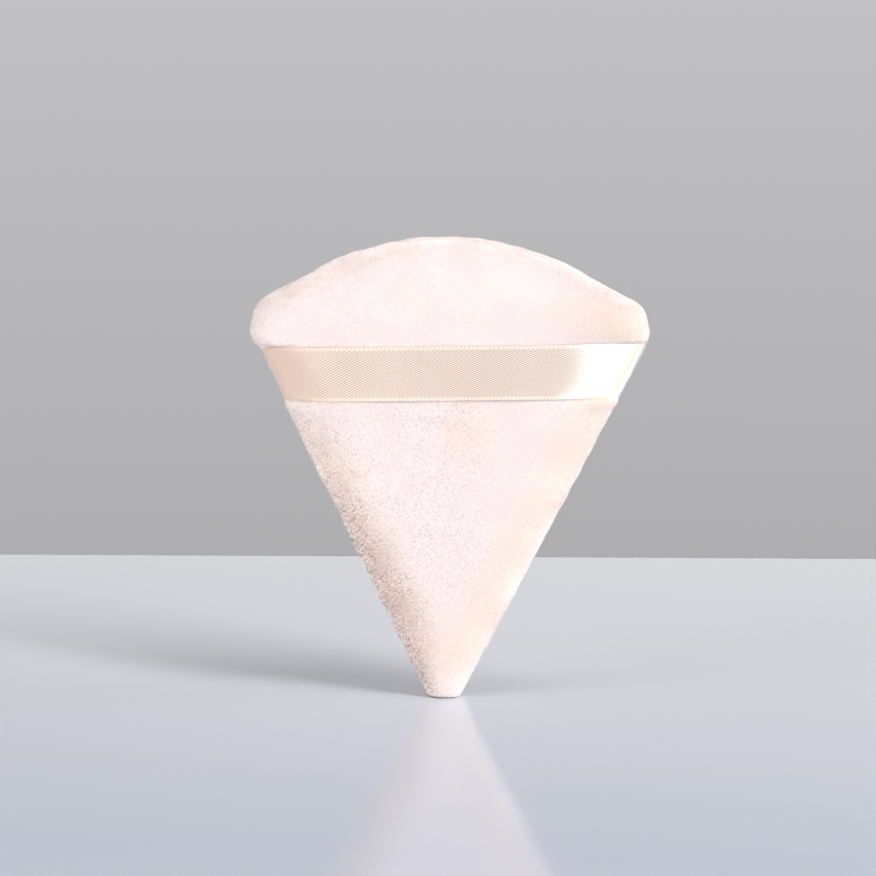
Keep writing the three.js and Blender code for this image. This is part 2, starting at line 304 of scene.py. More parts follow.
# Table and room
TABLE_REACH = 1.5
TABLE_FRONT = -0.12
TABLE_BACK = 0.15
TABLE_TURN = 7.4  # so that its back edge looks level under the camera's roll
# The table's colour darkens from back to front: painted shade
TABLE_NEAR = (0.38, 0.415, 0.505)
TABLE_FAR = (0.625, 0.645, 0.69)
ROOM_LEFT = (1.35, 1.32, 1.28)
ROOM_RIGHT = (0.60, 0.64, 0.69)
ROOM_ACROSS = 0.8
ROOM_HORIZON = 1.012
ROOM_ZENITH = 0.088
BACKDROP_LOW = (0.418, 0.416, 0.425)
BACKDROP_HIGH = (0.535, 0.533, 0.545)
BACKDROP_HEIGHTS = (-0.18, -0.02)
LAMP_DISTANCE = 1.2

# Each piece draws its own random numbers
SEED = 7


def smooth_step(values):
    """0 below 0, 1 above 1 and a smooth rise between."""
    clipped = np.clip(values, 0.0, 1.0)
    return clipped * clipped * (3.0 - 2.0 * clipped)


def ease(values, nothing, full):
    """A smooth change from 0 at one value to 1 at another, whichever is the greater."""
    return smooth_step((values - nothing) / (full - nothing))


def bell(values, width):
    return np.exp(-((values / width) ** 2))


def unit(vectors):
    """The vectors brought to a length of one."""
    return vectors / np.linalg.norm(vectors, axis=-1, keepdims=True)


def path_lengths(points):
    """How far along a path each of its points lies."""
    steps = np.linalg.norm(np.diff(points, axis=0), axis=1)
    return np.concatenate([[0.0], np.cumsum(steps)])


def ripples(points, wavelength, seed, count=56):
    """Smooth noise of about unit size: a sum of waves of one length in random directions."""
    random = np.random.default_rng(seed)
    directions = unit(random.normal(size=(count, 3)))
    lengths = wavelength * random.uniform(0.75, 1.35, count)
    phases = random.uniform(0.0, FULL_TURN, count)
    total = np.zeros(len(points))
    for wave, phase in zip(directions * (FULL_TURN / lengths)[:, None], phases):
        total += np.cos(points @ wave + phase)
    return total * math.sqrt(2.0 / count)


def waves(points, table, seed):
    """The sum of ripples of several strengths and wavelengths."""
    total = np.zeros(len(points))
    for k, (strength, wavelength) in enumerate(table):
        total += strength * ripples(points, wavelength, seed + k)
    return total


class Outline:
    """The puff's outline in the XZ plane, clockwise from the top's middle, as a path."""

    def __init__(self):
        places, normals = self.right_half()
        flip = np.array([-1.0, 1.0])
        self.places = np.vstack([places, places[-2::-1] * flip])
        self.normals = np.vstack([normals, normals[-2::-1] * flip])
        self.lengths = path_lengths(self.places)
        self.girth = self.lengths[-1]
        self.flank_reach = FLANK_OUT[0] * TIP_WIDTH / 2.0 - FLANK_OUT @ THICKEST

    @staticmethod
    def right_half():
        up = np.array([math.sin(FLANK_ANGLE), math.cos(FLANK_ANGLE)])
        out = FLANK_OUT
        crown = np.array([0.0, PUFF_HEIGHT - CROWN_RADIUS])
        shoulder_reach = up @ crown + CROWN_RADIUS
        flank_reach = out[0] * TIP_WIDTH / 2.0
        corner = up * (shoulder_reach - CORNER_RADIUS) + out * (flank_reach - CORNER_RADIUS)
        tip_height = TIP_RADIUS - FOOT_CUT
        tip = np.array([(flank_reach - TIP_RADIUS - out[1] * tip_height) / out[0], tip_height])
        arcs = [
            (crown, CROWN_RADIUS, 0.0, FLANK_ANGLE),
            (corner, CORNER_RADIUS, FLANK_ANGLE, FLANK_ANGLE + SQUARE),
            (tip, TIP_RADIUS, FLANK_ANGLE + SQUARE, math.pi),
        ]
        places, normals = [], []
        for centre, radius, start, end in arcs:
            angles = np.linspace(start, end, ARC_SAMPLES)
            normal = np.stack([np.sin(angles), np.cos(angles)], axis=1)
            places.append(centre + radius * normal)
            normals.append(normal)
        places.append([[0.0, -FOOT_CUT]])
        normals.append([[0.0, -1.0]])
        return np.vstack(places), np.vstack(normals)

    def at(self, shares):
        """Places and outward normals at shares of the way round."""
        along = np.mod(shares, 1.0) * self.girth
        place, normal = (
            np.stack([np.interp(along, self.lengths, known[:, k]) for k in (0, 1)], axis=1)
            for known in (self.places, self.normals)
        )
        return place, unit(normal)

    def drawn_in(self, shares, inset):
        """Places drawn in along their rays to the thickest place, an inset inside their own edge.

        Well inside the edge the foot's places follow the flanks beside them, and the tip stays round.
        """
        place, normal = self.at(shares)
        ray = place - THICKEST
        reach = np.sum(ray * normal, axis=1)
        beside = np.minimum(reach, self.flank_reach)
        share = smooth_step(np.asarray(inset) / FOOT_BLEND)
        return place - ray * (inset / (reach + (beside - reach) * share))[:, None]

    def inset_of(self, x, z):
        """How far inside its own edge each place lies, the other way round from drawn_in."""
        ray = np.stack([x, z], axis=1) - THICKEST
        bearing = np.mod(np.arctan2(ray[:, 0], ray[:, 1]), FULL_TURN)
        places, normals = self.at(np.linspace(0.0, 1.0, BEARING_SAMPLES, endpoint=False))
        rays = places - THICKEST
        bearings = np.mod(np.arctan2(rays[:, 0], rays[:, 1]), FULL_TURN)
        edge = np.interp(bearing, bearings, np.linalg.norm(rays, axis=1), period=FULL_TURN)
        reach = np.interp(bearing, bearings, np.sum(rays * normals, axis=1), period=FULL_TURN)
        shrink = 1.0 - np.linalg.norm(ray, axis=1) / edge
        beside = np.minimum(reach, self.flank_reach)
        inset = shrink * beside
        for _ in range(12):
            share = smooth_step(inset / FOOT_BLEND)
            inset = (inset + shrink * (reach + (beside - reach) * share)) / 2.0
        return inset


outline = Outline()


def rise_at(x, z):
    """Half the puff's thickness where its face lies flat."""
    share = np.hypot(x - THICKEST[0], z - THICKEST[1]) / THICKEST[1]
    return CROWN_RISE - (CROWN_RISE - TIP_RISE) * share**2


# Rings. Each is a function of shares of the way round and gives points with their rise unsigned.
def edge_ring(inset, rise):
    def ring(shares):
        x, z = outline.drawn_in(shares, inset).T
        return np.stack([x, rise(rise_at(x, z)) + 0.0 * x, z], axis=1)

    return ring


def face_ring(inset, share, sunk):
    def ring(shares):
        x, z = (outline.drawn_in(shares, inset) * (1.0 - share) + THICKEST * share).T
        return np.stack([x, rise_at(x, z) - sunk, z], axis=1)

    return ring


def bulge_rings(count):
    for turn in np.linspace(SQUARE, 0.0, count, endpoint=False):
        inset = SEAM_DRAW * (1.0 - math.cos(turn))
        rise = BULGE_RISE - (BULGE_RISE - SEAM_RISE) * math.sin(turn)
        yield edge_ring(inset, lambda full, rise=rise: rise)


def round_rings(count, sunk=0.0, first=0):
    for turn in np.linspace(0.0, SQUARE, count + 1)[first:]:
        inset = EDGE_ROUND - (EDGE_ROUND - sunk) * math.cos(turn)
        height = math.sin(turn)

        def rise(full, height=height):
            return BULGE_RISE + (full - sunk - BULGE_RISE) * height

        yield edge_ring(inset, rise)


def face_rings(count, inset, sunk=0.0):
    for share in np.arange(1, count) / count:
        yield face_ring(inset, share, sunk)


def laid_out(rings, step):
    """The points of a ring at about one step from each other."""
    points = []
    for ring in rings:
        length = path_lengths(ring(np.linspace(0.0, 1.0, RING_SAMPLES)))[-1]
        count = max(LEAST_POINTS, round(length / step))
        points.append(ring(np.arange(count) / count))
    return points


def strip(first, count, other, other_count):
    """The triangles between two closed rings of any two counts, given by their first indices."""
    i = np.arange(count)
    j = np.arange(other_count)
    near = np.searchsorted((j + 1) * count, (i + 1) * other_count, "left")
    far = np.searchsorted((i + 1) * other_count, (j + 1) * count, "right")
    one = np.stack([first + i, first + (i + 1) % count, other + near % other_count], axis=1)
    two = np.stack([other + (j + 1) % other_count, other + j, first + far % count], axis=1)
    return np.vstack([one, two])


def cap(centre, first, count):
    i = np.arange(count)
    return np.stack([np.full(count, centre), first + (i + 1) % count, first + i], axis=1)


def lofted(start, rings, end):
    """Points and triangles of a closed body: rings shut by a middle point at each end."""
    counts = [len(ring) for ring in rings]
    firsts = 1 + np.concatenate([[0], np.cumsum(counts)[:-1]])
    points = np.vstack([[start], *rings, [end]])
    triangles = [cap(0, firsts[0], counts[0])]
    for k in range(len(rings) - 1):
        triangles.append(strip(firsts[k], counts[k], firsts[k + 1], counts[k + 1]))
    triangles.append(cap(len(points) - 1, firsts[-1], counts[-1])[:, ::-1])
    return points, np.vstack(triangles)


def facing_out(points, triangles):
    """The triangles, turned round if they enclose less than nothing."""
    a, b, c = (points[triangles[:, k]] for k in range(3))
    volume = np.sum(a * np.cross(b, c))
    return triangles if volume > 0.0 else triangles[:, ::-1]


def point_normals(points, triangles):
    a, b, c = (points[triangles[:, k]] for k in range(3))
    faces = np.cross(b - a, c - a)
    normals = np.zeros_like(points)
    for k in range(3):
        for axis in range(3):
            normals[:, axis] += np.bincount(triangles[:, k], faces[:, axis], len(points))
    return normals / np.maximum(np.linalg.norm(normals, axis=1), 1e-12)[:, None]


def link(piece):
    bpy.context.scene.collection.objects.link(piece)
    return piece


def make_piece(name, points, triangles, material, normals=None):
    """A piece from points in millimetres, riding on the puff's one body."""
    mesh = bpy.data.meshes.new(name)
    mesh.vertices.add(len(points))
    mesh.vertices.foreach_set("co", (np.asarray(points) * MM).ravel())
    mesh.loops.add(triangles.size)
    mesh.loops.foreach_set("vertex_index", triangles.ravel().astype(np.int32))
    mesh.polygons.add(len(triangles))
    mesh.polygons.foreach_set("loop_start", np.arange(0, triangles.size, 3, dtype=np.int32))
    mesh.polygons.foreach_set("use_smooth", np.full(len(triangles), True))
    mesh.materials.append(material)
    mesh.update(calc_edges=True)
    if normals is not None:
        mesh.normals_split_custom_set_from_vertices(normals)
    piece = link(bpy.data.objects.new(name, mesh))
    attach(piece, "root")
    return piece


def give_note(piece, name, values):
    """A number for each point, for the piece's material."""
    note = piece.data.attributes.new(name, "FLOAT", "POINT")
    note.data.foreach_set("value", values.astype(np.float32))


def give_map(piece, places):
    """A flat map to bake through, from each point's place in the puff's plane."""
    corners = np.empty(len(piece.data.loops), dtype=np.int32)
    piece.data.loops.foreach_get("vertex_index", corners)
    flat = places[corners] / MAP_SIZE + MAP_FOOT
    layer = piece.data.uv_layers.new(name="OFBake")
    layer.uv.foreach_set("vector", flat.astype(np.float32).ravel())


# Ribbon's course


def ribbon_drop(x, z):
    """How far a place lies above the ribbon's middle line."""
    return (z - RIBBON_HEIGHT) * math.cos(RIBBON_TILT) - x * math.sin(RIBBON_TILT)


def pinch_at(inset, drop, side):
    """How deep the ribbon presses the pile: lightly on the face, hard where it goes round an edge."""
    upper = smooth_step(0.5 + drop / RIBBON_WIDTH)
    deepest = PINCH_RIGHT if side > 0 else PINCH_LEFT + PINCH_LEFT_UPPER * upper
    start = PINCH_FROM_RIGHT if side > 0 else PINCH_FROM_LEFT
    return PINCH_FACE + deepest * ease(inset, start, PINCH_FULL)


def pressed(x, z, inset):
    """How far the ribbon moves the front panel's surface out, mostly below nothing."""
    drop = ribbon_drop(x, z)
    away = np.abs(drop)
    half = RIBBON_WIDTH / 2.0
    depth = np.where(x > 0.0, pinch_at(inset, drop, 1), pinch_at(inset, drop, -1))
    slope = BED_SLOPE + BED_SLOPE_MORE * ease(inset, *BED_SLOPED)
    outside = np.where(drop > 0.0, BED_SHARE_ABOVE, BED_SHARE_BELOW) * slope
    sunk = smooth_step((half + BED_MARGIN + outside - away) / slope)
    puffed = PUFFED_SHARE * depth * bell(away - half - PUFFED_OFF, PUFFED_WIDTH)
    return puffed - depth * sunk


# Materials


def new_material(name, colour, roughness):
    material = bpy.data.materials.new(name)
    material.use_nodes = True
    shader = material.node_tree.nodes["Principled BSDF"]
    shader.inputs["Base Color"].default_value = (*colour, 1.0)
    shader.inputs["Roughness"].default_value = roughness
    return material, shader


def add_node(owner, kind, **inputs):
    """A node of a material or of the world, with some of its inputs set."""
    node = owner.node_tree.nodes.new(kind)
    for name, value in inputs.items():
        node.inputs[name.replace("_", " ")].default_value = value
    return node


def join(owner, source, target):
    owner.node_tree.links.new(source, target)


def colour_mix(owner, first, second):
    mix = add_node(owner, "ShaderNodeMix")
    mix.data_type = "RGBA"
    mix.inputs[6].default_value = (*first, 1.0)
    mix.inputs[7].default_value = (*second, 1.0)
    return mix


def mottled(material, shader, first, second, cell, detail=3.0):
    """The base colour wanders between two colours over cells of a size in millimetres."""
    place = add_node(material, "ShaderNodeTexCoord")
    noise = add_node(material, "ShaderNodeTexNoise", Scale=1.0 / (cell * MM), Detail=detail)
    ramp = add_node(material, "ShaderNodeMapRange", From_Min=0.35, From_Max=0.65)
    mix = colour_mix(material, first, second)
    join(material, place.outputs["Object"], noise.inputs["Vector"])
    join(material, noise.outputs["Fac"], ramp.inputs["Value"])
    join(material, ramp.outputs["Result"], mix.inputs[0])
    join(material, mix.outputs[2], shader.inputs["Base Color"])
    return mix


def dyed(material, base, note, colour):
    """A colour multiplied by another as far as a note on the mesh says."""
    amount = add_node(material, "ShaderNodeAttribute")
    amount.attribute_name = note
    mix = colour_mix(material, (1.0, 1.0, 1.0), colour)
    mix.blend_type = "MULTIPLY"
    join(material, amount.outputs["Fac"], mix.inputs[0])
    join(material, base.outputs[2], mix.inputs[6])
    return mix


def velour_material():
    material, shader = new_material("velour", (0.95, 0.865, 0.845), 0.9)
    fibres = mottled(material, shader, (0.955, 0.87, 0.855), (0.935, 0.84, 0.825), 0.4)
    # The velour's own cream patch, and a warm tone painted on the flanks for the light there
    cream_and_warm_light = dyed(material, fibres, "tint", (1.0, 0.955, 0.88))
    # Painted shade: the pile's colour multiplied towards brown for the shadow in and between the
    # tufts
    shaded = dyed(material, cream_and_warm_light, "painted_shade", (0.29, 0.22, 0.19))
    join(material, shaded.outputs[2], shader.inputs["Base Color"])
    shader.inputs["Sheen Weight"].default_value = 0.12
    shader.inputs["Sheen Roughness"].default_value = 0.5
    shader.inputs["Sheen Tint"].default_value = (1.0, 0.95, 0.93, 1.0)
    shader.inputs["Specular IOR Level"].default_value = 0.1
    return material


def satin_material():
    material, shader = new_material("satin", (0.675, 0.503, 0.412), 0.6)
    threads = mottled(material, shader, (0.685, 0.511, 0.42), (0.665, 0.491, 0.40), 0.5)
    # The weave's dark lines, and painted shade over the ribbon's right half
    woven_and_shaded = dyed(material, threads, "weave", (0.25, 0.30, 0.32))
    warmer = dyed(material, woven_and_shaded, "warm", (1.0, 0.97, 0.94))
    join(material, warmer.outputs[2], shader.inputs["Base Color"])
    shader.inputs["Coat Weight"].default_value = 1.0
    shader.inputs["Coat Roughness"].default_value = 0.38
    shader.inputs["Coat IOR"].default_value = 1.7
    shader.inputs["Specular IOR Level"].default_value = 0.15
    shader.inputs["Sheen Weight"].default_value = 0.15
    return material


def sponge_material():
    material, shader = new_material("sponge", (0.93, 0.88, 0.79), 1.0)
    mottled(material, shader, (0.94, 0.89, 0.80), (0.86, 0.80, 0.69), 0.7)
    return material


def thread_material():
    material, shader = new_material("thread", (0.90, 0.78, 0.73), 0.55)
    mottled(material, shader, (0.91, 0.80, 0.75), (0.84, 0.70, 0.65), 0.2)
    shader.inputs["Sheen Weight"].default_value = 0.2
    return material


# Velour panels


def lumps(points, inset, seed):
    """How far the velour's surface stands out from its drawn form, in patches of several sizes."""
    total = waves(points, LUMPS, seed)
    pull = SEAM_PULL * ease(inset, *SEAM_PULLED)
    return total + pull * ripples(points, SEAM_PULL_SIZE, seed + len(LUMPS))


def crease_at(x, z, width):
    """The faint crease that runs down the front face from below the ribbon's middle."""
    line = CREASE_END - CREASE_START
    right, up = x - CREASE_START[0], z - CREASE_START[1]
    along = np.clip((right * line[0] + up * line[1]) / (line @ line), 0.0, 1.0)
    away = np.hypot(right - along * line[0], up - along * line[1])
    fade = smooth_step(along / CREASE_FADES[0]) * smooth_step((1.0 - along) / CREASE_FADES[1])
    return fade * bell(away, width)


def round_tip(face, side):
    """Rounds the panel's narrow lower end over, from flank to flank and down to the foot."""
    x, z = np.abs(face[:, 0]), face[:, 2]
    rise = np.abs(face[:, 1])
    half = edge_across(np.maximum(z, LEAST_SIZE), 0.0)
    flank = (half - x) * math.cos(FLANK_ANGLE)
    reach = np.clip(half * math.cos(FLANK_ANGLE), LEAST_SIZE, EDGE_ROUND)
    across = np.sqrt(1.0 - np.clip(1.0 - flank / reach, 0.0, 1.0) ** 2)
    height = (z + TIP_ROUND_BELOW) / TIP_ROUND
    upward = np.sqrt(1.0 - np.clip(1.0 - height, 0.0, 1.0) ** 2)
    rounded = BULGE_RISE + (rise_at(x, z) - BULGE_RISE) * across * upward
    share = ease(z, *TIP_ROUNDED) * smooth_step((rise - BULGE_RISE) / TIP_ROUND_STEP)
    face[:, 1] = side * (rise + (rounded - rise) * share)


def fill_shoulders(face):
    """Draws the crown's shoulders and its right corner a little out of their arcs."""
    ray = face[:, ::2] - THICKEST
    length = np.maximum(np.linalg.norm(ray, axis=1), 1e-6)
    bearing = np.arctan2(ray[:, 0], ray[:, 1])
    out = SHOULDER_OUT * bell(np.abs(bearing) - SHOULDER_BEARING, SHOULDER_SPREAD)
    out += CORNER_OUT * bell(bearing - CORNER_BEARING, CORNER_SPREAD)
    face[:, ::2] += ray * (out * smooth_step(length / FILLED_FROM) / length)[:, None]


def panel_shape(side):
    """Points, triangles and outer face of one velour panel."""
    outer = laid_out(
        [*bulge_rings(BULGE_RINGS), *round_rings(ROUND_RINGS), *face_rings(FACE_RINGS, EDGE_ROUND)],
        CLOTH_STEP,
    )
    allowance_end = SEAM_DRAW + ALLOWANCE_WIDTH
    allowance_root = CLOTH + CLEARANCE
    allowance_top = SEAM_RISE + ALLOWANCE_THICKNESS
    inner = laid_out(
        [
            edge_ring(allowance_end, lambda full: SEAM_RISE),
            edge_ring(allowance_end, lambda full: allowance_top),
            edge_ring(allowance_root, lambda full: allowance_top),
            *round_rings(INNER_ROUND_RINGS, CLOTH, 1),
            *face_rings(INNER_FACE_RINGS, EDGE_ROUND, CLOTH),
        ],
        INNER_STEP,
    )
    rings = [*outer[::-1], *inner]
    start = [THICKEST[0], CROWN_RISE, THICKEST[1]]
    end = [THICKEST[0], CROWN_RISE - CLOTH, THICKEST[1]]
    points, triangles = lofted(start, rings, end)
    outer_count = 1 + sum(len(ring) for ring in outer)
    points[:, 1] *= side
    round_tip(points[:outer_count], side)
    fill_shoulders(points[:outer_count])
    triangles = facing_out(points, triangles)
    normals = point_normals(points, triangles)

    face = points[:outer_count]
    inset = outline.inset_of(face[:, 0], face[:, 2])
    seam = smooth_step((np.abs(face[:, 1]) - SEAM_RISE) / SEAM_SMOOTH)
    out = lumps(face, inset, SEED + 10 * (side + 1)) - PILE_SUNK
    if side < 0:
        x, z = face[:, 0], face[:, 2]
        away = np.abs(ribbon_drop(x, z)) - RIBBON_WIDTH / 2.0
        out *= ease(away, *BED_SMOOTH)
        out += pressed(x, z, inset) - CREASE_DEPTH * crease_at(x, z, CREASE_WIDTH)
    out *= seam
    points[:outer_count] += normals[:outer_count] * out[:, None]
    points[:, 2] = np.maximum(points[:, 2], LEAST_HEIGHT)
    is_outer = np.all(triangles < outer_count, axis=1)
    return points, triangles, is_outer


def flank_inset(x, z):
    """How far inside the edge each place lies, near the foot measured to the flanks beside it."""
    half = edge_across(np.maximum(z, LEAST_SIZE), 0.0)
    return np.minimum(outline.inset_of(x, z), (half - np.abs(x)) * math.cos(FLANK_ANGLE))


def tint_at(points):
    """Where the velour is warmer: a warm tone painted along the flanks for the warm light and shade
    there, and its own cream patch below the front's ribbon.
    """
    x, z = points[:, 0], points[:, 2]
    inset = flank_inset(x, z)
    flank = ease(inset, *TINT_INSETS)
    flank *= TINT_RIM + (1.0 - TINT_RIM) * ease(inset, *TINT_RIM_INSETS)
    flank *= ease(z, *TINT_FOOT)
    flank *= np.where(x > 0.0, ease(z, *TINT_RIGHT), TINT_LEFT_SHARE * ease(z, *TINT_LEFT))
    right = (x - PATCH_PLACE[0]) / PATCH_REACH[0]
    up = (z - PATCH_PLACE[1]) / PATCH_REACH[1]
    patch = bell(np.hypot(right, up), 1.0) * (points[:, 1] < 0.0)
    return np.clip(flank + PATCH_TINT * patch, 0.0, 1.0)


def ruffled_and_shaded_at(points):
    """Where the front's pile is thinner and rougher, and painted darker as shade: low on its left
    flank.
    """
    x, z = points[:, 0], points[:, 2]
    width = RUFFLED_WIDTH + RUFFLED_WIDER * ease(z, *WIDER_HEIGHTS)
    width -= RUFFLED_NARROWER * ease(z, *NARROWER_HEIGHTS)
    near = ease(flank_inset(x, z), width, RUFFLED_INNER)
    low_left = ease(z, *RUFFLED_HEIGHTS) * ease(x, *RUFFLED_ACROSS)
    return near * low_left * (points[:, 1] < 0.0)


def speckled_at(points, ruffled_and_shaded):
    """How much the tufts' painted shade differs from tuft to tuft: most low on the front's left flank
    and below the ribbon, little on the crown.
    """
    x, z = points[:, 0], points[:, 2]
    below = ease(z, *BELOW_RIBBON) * ease(x, *BELOW_ACROSS) * ease(z, *BELOW_TIP)
    below *= 1.0 - SPECKLE_LEFT_LESS * ease(x, *SPECKLE_LEFT)
    return SPECKLE + SPECKLE_BELOW * below + SPECKLE_RUFFLED * ruffled_and_shaded


def painted_shade_at(points, normal, ruffled_and_shaded):
    """How much shade is painted on the pile on the whole: most low on the front's left flank, and on
    the front where it faces up and at the crown's right, less along the top rim.
    """
    up = normal[:, 2]
    right = ease(points[:, 0], *SHADED_RIGHT) * ease(points[:, 2], *SHADED_CROWN)
    front = PAINTED_SHADE_FRONT + PAINTED_SHADE_UPWARD * ease(up, *SHADED_UPWARD) + PAINTED_SHADE_RIGHT * right
    shade = PAINTED_SHADE_BASE + front * (points[:, 1] < 0.0)
    return shade * (1.0 - PAINTED_SHADE_RIM_LESS * ease(up, *SHADED_RIM)) + PAINTED_SHADE_RUFFLED * ruffled_and_shaded


def scattered(points, triangles, count, random):
    """Places spread evenly by area over triangles, with their normals."""
    a, b, c = (points[triangles[:, k]] for k in range(3))
    areas = np.linalg.norm(np.cross(b - a, c - a), axis=1)
    reach = np.cumsum(areas)
    picks = (np.arange(count) + random.random(count)) / count * reach[-1]
    chosen = np.searchsorted(reach, picks)
    u, v = random.random((2, count))
    over = u + v > 1.0
    u[over], v[over] = 1.0 - u[over], 1.0 - v[over]
    weights = np.stack([1.0 - u - v, u, v], axis=1)
    normals = point_normals(points, triangles)
    place = np.einsum("nk,nkd->nd", weights, points[triangles[chosen]])
    normal = np.einsum("nk,nkd->nd", weights, normals[triangles[chosen]])
    return place, unit(normal)


def pile_shape(side, points, triangles, random):
    """Tufts of pile as small closed spikes on the outer face of a panel."""
    place, normal = scattered(points, triangles, TUFTS, random)
    x, z = place[:, 0], place[:, 2]
    keep = (z > TUFTS_LOWEST) & (np.abs(place[:, 1]) > SEAM_RISE + TUFTS_OFF_SEAM)
    if side < 0:
        away = np.abs(ribbon_drop(x, z)) - RIBBON_WIDTH / 2.0
        keep &= away > -TUFTS_UNDER_RIBBON
    ruffled_and_shaded = ruffled_and_shaded_at(place)
    keep &= random.random(TUFTS) > RUFFLED_THIN * ruffled_and_shaded
    place, normal, ruffled_and_shaded = place[keep], normal[keep], ruffled_and_shaded[keep]
    count = len(place)

    comb = np.stack([ripples(place, COMB_SIZE, SEED + 40 + k + side) for k in range(3)], axis=1)
    stray = random.normal(scale=TUFT_STRAY, size=(count, 3)) * (1.0 + ruffled_and_shaded)[:, None]
    lean = TUFT_COMB * comb + stray
    lean -= normal * np.sum(lean * normal, axis=1)[:, None]
    axis = unit(normal + lean)
    length = TUFT_LENGTH * random.uniform(*TUFT_LENGTHS, count)
    radius = TUFT_RADIUS * random.uniform(*TUFT_RADII, count)
    across = unit(np.cross(axis, random.normal(size=(count, 3))))
    over = np.cross(axis, across)

    root = place - normal * TUFT_ROOT
    corners = []
    for turn in FULL_TURN * np.arange(3) / 3.0:
        corners.append(root + (across * math.cos(turn) + over * math.sin(turn)) * radius[:, None])
    corners.append(root + axis * (length + TUFT_ROOT)[:, None])
    spikes = np.stack(corners, axis=1)
    own = unit(spikes - spikes.mean(axis=1, keepdims=True))
    shade = TUFT_SHADE * (1.0 + RUFFLED_SHADE * ruffled_and_shaded)
    facing = unit(normal[:, None, :] + shade[:, None, None] * own)
    # A speckle of random fibre tone and painted shade between the tufts, over the painted shade's
    # mean
    grain_and_shade = random.uniform(-GRAIN_AND_SHADE_STRAY, GRAIN_AND_SHADE_STRAY, count)
    for strength, wavelength, seed in GRAIN_AND_SHADE_WAVES:
        grain_and_shade += strength * ripples(place, wavelength, SEED + seed + side)
    painted_shade = painted_shade_at(place, normal, ruffled_and_shaded) + speckled_at(place, ruffled_and_shaded) * grain_and_shade
    # Painted shade along the front's crease
    if side < 0:
        crease = crease_at(place[:, 0], place[:, 2], CREASE_PAINTED_SHADE_WIDTH)
        painted_shade += CREASE_PAINTED_SHADE * random.random(count) * crease
    painted_shade = np.clip(painted_shade, 0.0, 1.0)
    spikes[:, :, 2] = np.maximum(spikes[:, :, 2], LEAST_HEIGHT)
    order = np.argsort(-place[:, 2], kind="stable")
    return spikes[order], facing[order], painted_shade[order]


def make_panel(side, name, material):
    points, triangles, is_outer = panel_shape(side)
    panel = make_piece(f"{name}_velour", points, triangles, material)
    give_note(panel, "tint", tint_at(points))
    ruffled_and_shaded = ruffled_and_shaded_at(points)
    # The cloth between the tufts gets the painted shade too, more low on the left flank
    shade = painted_shade_at(points, point_normals(points, triangles), ruffled_and_shaded)
    give_note(panel, "painted_shade", shade + PAINTED_SHADE_GROUND * ruffled_and_shaded)
    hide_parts(f"{name}_panel")
    random = np.random.default_rng(SEED + side)
    shape = pile_shape(side, points, triangles[is_outer], random)
    pattern = np.array([[0, 1, 3], [1, 2, 3], [2, 0, 3], [2, 1, 0]])
    bands = [np.array_split(part, len(PILE_BANDS)) for part in shape]
    for band, tufts, normals, painted_shade in zip(PILE_BANDS, *bands):
        faces = (4 * np.arange(len(tufts))[:, None, None] + pattern).reshape(-1, 3)
        corners = tufts.reshape(-1, 3)
        pile = make_piece(f"{name}_pile_{band}", corners, faces, material, normals.reshape(-1, 3))
        give_note(pile, "tint", tint_at(corners))
        give_note(pile, "painted_shade", np.repeat(painted_shade, 4))
        give_map(pile, corners[:, ::2])


# Ribbon


def edge_across(z, inset):
    """Where the rings at one or more insets lie at each height, on the right side."""
    least, most = np.min(inset), np.max(inset)
    x = []
    for level in (least, most):
        x_ring, z_ring = outline.drawn_in(np.linspace(0.0, 0.5, EDGE_SAMPLES), level).T
        x.append(np.interp(z, z_ring[::-1], x_ring[::-1]))
    share = (inset - least) / max(most - least, 1e-6)
    return x[0] * (1.0 - share) + x[1] * share


def ribbon_side(side, drops):
    """The ribbon's columns on one side, from its tab in the seam to the face's flat."""
    off = RIBBON_STAND_OFF + RIBBON_THICKNESS / 2.0
    mouth = SEAM_DRAW + RIBBON_MOUTH
    tab = np.linspace(mouth + RIBBON_TAB, mouth, TAB_STATIONS)
    stations = [(inset, 0.0, 0.0) for inset in tab]
    turn_out = pinch_at(0.0, drops, side) - off
    for turn in np.linspace(TURN_FROM, SQUARE, TURN_STATIONS):
        inset = mouth + (turn_out - mouth) * math.sin(turn)
        stations.append((inset, BULGE_RISE * (1.0 - math.cos(turn)), 0.0))
    depth = CROWN_RISE - BULGE_RISE
    for turn in np.linspace(0.0, SQUARE, EDGE_STATIONS)[1:]:
        inset = EDGE_ROUND * (1.0 - math.cos(turn))
        lift = off - pinch_at(inset, drops, side)
        normal = unit(np.array([-math.cos(turn) / EDGE_ROUND, math.sin(turn) / depth]))
        fixed = BULGE_RISE * (1.0 - math.sin(turn)) + normal[1] * lift
        stations.append((inset + normal[0] * lift, fixed, math.sin(turn)))
    slope = math.tan(RIBBON_TILT)
    middle = RIBBON_HEIGHT + drops / math.cos(RIBBON_TILT)
    columns = []
    for inset, fixed, share in stations:
        x = side * edge_across(middle, inset)
        for _ in range(3):
            x = side * edge_across(middle + slope * x, inset)
        z = middle + slope * x
        columns.append(np.stack([x, -fixed - share * rise_at(x, z), z], axis=1))
    return np.array(columns)


